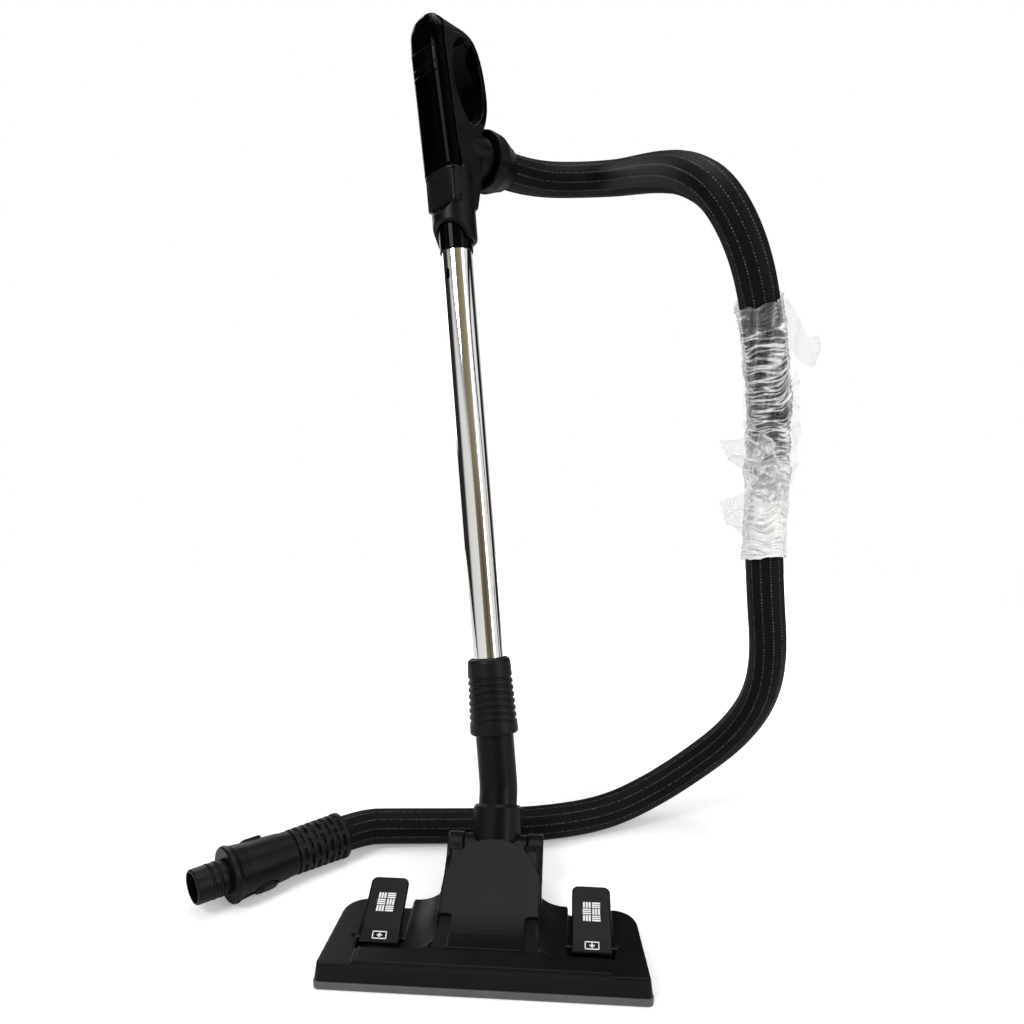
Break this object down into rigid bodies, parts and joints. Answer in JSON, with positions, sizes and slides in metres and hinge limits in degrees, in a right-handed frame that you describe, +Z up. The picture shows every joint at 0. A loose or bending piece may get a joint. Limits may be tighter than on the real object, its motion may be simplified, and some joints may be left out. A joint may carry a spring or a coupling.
{
  "type": "vacuum_wand_set",
  "caption": "Wand, floor head and hose set of a canister vacuum cleaner: loop handle with black hose, chrome telescopic tube and a flat floor head with two pedals",
  "frame": {"origin": "On the floor under the sole of the floor head, at the middle of its width; the sole rests on Z = 0.", "axes": "+Z up from the floor, the longest way of the part; +Y backwards, from the front edge of the head to the neck; +X to the right as seen from the front of the head."},
  "size_m": [0.6117, 0.5381, 0.8762],
  "materials": {
    "satin_black": "satin moulded plastic",
    "sole_black": "matt moulded plastic",
    "gloss_black": "polished plastic",
    "soft_black": "soft grip rubber",
    "grey_rubber": "soft grey rubber",
    "zinc_steel": "zinc plated steel",
    "chrome_tube": "polished chrome",
    "woven_hose": "tight woven sleeve with light stitch lines",
    "lint_pile": "short pile",
    "bristle": "nylon bristles",
    "clear_film": "clear stretched film"
  },
  "bodies": {
    "wand": {"outer_tube": "chrome_tube", "lock_core": "sole_black", "lock_roller": "zinc_steel", "tube_collar": "gloss_black", "handle_body": "satin_black", "front_cover": "gloss_black", "top_cap": "satin_black", "grip_lining": "gloss_black", "latch_pin": "zinc_steel", "hose_tube": "woven_hose", "film_wrap": "clear_film", "strain_relief": "soft_black"},
    "sleeve": {"lock_sleeve": "soft_black"},
    "slider": {"air_slider": "gloss_black"},
    "latch": {"wand_latch": "satin_black"},
    "cuff": {"hose_cuff": "satin_black"},
    "lower_tube": {"inner_tube": "chrome_tube", "neck_tube": "satin_black"},
    "yoke": {"neck_yoke": "satin_black", "swivel_collar": "satin_black", "pivot_pins": "zinc_steel"},
    "head": {"head_shell": "satin_black", "neck_cover": "satin_black", "bumper_strip": "grey_rubber", "sole_plate": "sole_black", "lint_strip_front": "lint_pile", "lint_strip_rear": "lint_pile", "sole_screws": "zinc_steel", "wheel_pins": "zinc_steel"},
    "pedals": {"pedal_left": "satin_black", "pedal_right": "satin_black", "pedal_shaft": "zinc_steel"},
    "brushes": {"brush_carrier": "sole_black", "brush_strip_front": "bristle", "brush_strip_rear": "bristle"},
    "left_wheel": {"wheel_left": "soft_black"},
    "right_wheel": {"wheel_right": "soft_black"},
    "connector": {"connector_body": "satin_black", "connector_spigot": "satin_black", "seal_rings": "soft_black"},
    "button_upper": {"latch_button_upper": "satin_black"},
    "button_lower": {"latch_button_lower": "satin_black"}
  },
  "joints": [
    {"name": "sleeve_release", "type": "slide", "parent": "wand", "child": "sleeve", "axis": [-0.107, 0.2791, 0.9543], "range_m": [0, 0.008], "stiffness_N_per_m": 400},
    {"name": "air_control", "type": "slide", "parent": "wand", "child": "slider", "axis": [0.1447, -0.2308, -0.9622], "range_m": [0, 0.008]},
    {"name": "latch_press", "type": "hinge", "parent": "wand", "child": "latch", "pos_m": [-0.07844, 0.30137, 0.71729], "axis": [0.7825, -0.5685, 0.254], "range_deg": [0, 2.8], "stiffness_Nm_per_rad": 0.5},
    {"name": "hose_swivel", "type": "hinge", "parent": "wand", "child": "cuff", "pos_m": [-0.07257, 0.32285, 0.74729], "axis": [0.607, 0.7875, -0.1073], "continuous": true},
    {"name": "telescope", "type": "slide", "parent": "wand", "child": "lower_tube", "axis": [0.107, -0.2791, -0.9543], "range_m": [0, 0.3]},
    {"name": "neck_swivel", "type": "hinge", "parent": "lower_tube", "child": "yoke", "pos_m": [0, 0.1, 0.042], "axis": [0, 0.5, 0.866], "range_deg": [-90, 90]},
    {"name": "neck_tilt", "type": "hinge", "parent": "yoke", "child": "head", "pos_m": [0, 0.1, 0.042], "axis": [1, 0, 0], "range_deg": [0, 50]},
    {"name": "pedal_rock", "type": "hinge", "parent": "head", "child": "pedals", "pos_m": [0, -0.018, 0.024], "axis": [1, 0, 0], "range_deg": [-12, 0]},
    {"name": "brush_drop", "type": "slide", "parent": "head", "child": "brushes", "axis": [0, 0, 1], "range_m": [-0.0032, 0]},
    {"name": "wheel_left_spin", "type": "hinge", "parent": "head", "child": "left_wheel", "pos_m": [-0.041, 0.1, 0.012], "axis": [1, 0, 0], "continuous": true},
    {"name": "wheel_right_spin", "type": "hinge", "parent": "head", "child": "right_wheel", "pos_m": [0.041, 0.1, 0.012], "axis": [1, 0, 0], "continuous": true},
    {"name": "connector_swivel", "type": "hinge", "parent": "wand", "child": "connector", "pos_m": [-0.21784, 0.10588, 0.02742], "axis": [-0.7213, -0.6917, 0.0349], "continuous": true},
    {"name": "button_upper_press", "type": "slide", "parent": "connector", "child": "button_upper", "axis": [0.4975, -0.5525, -0.6687], "range_m": [0, 0.0025], "stiffness_N_per_m": 300},
    {"name": "button_lower_press", "type": "slide", "parent": "connector", "child": "button_lower", "axis": [-0.4975, 0.5525, 0.6687], "range_m": [0, 0.0025], "stiffness_N_per_m": 300}
  ],
  "couplings": [
    {"joint": "brush_drop", "follows": "pedal_rock", "m_per_rad": 0.015278}
  ]
}
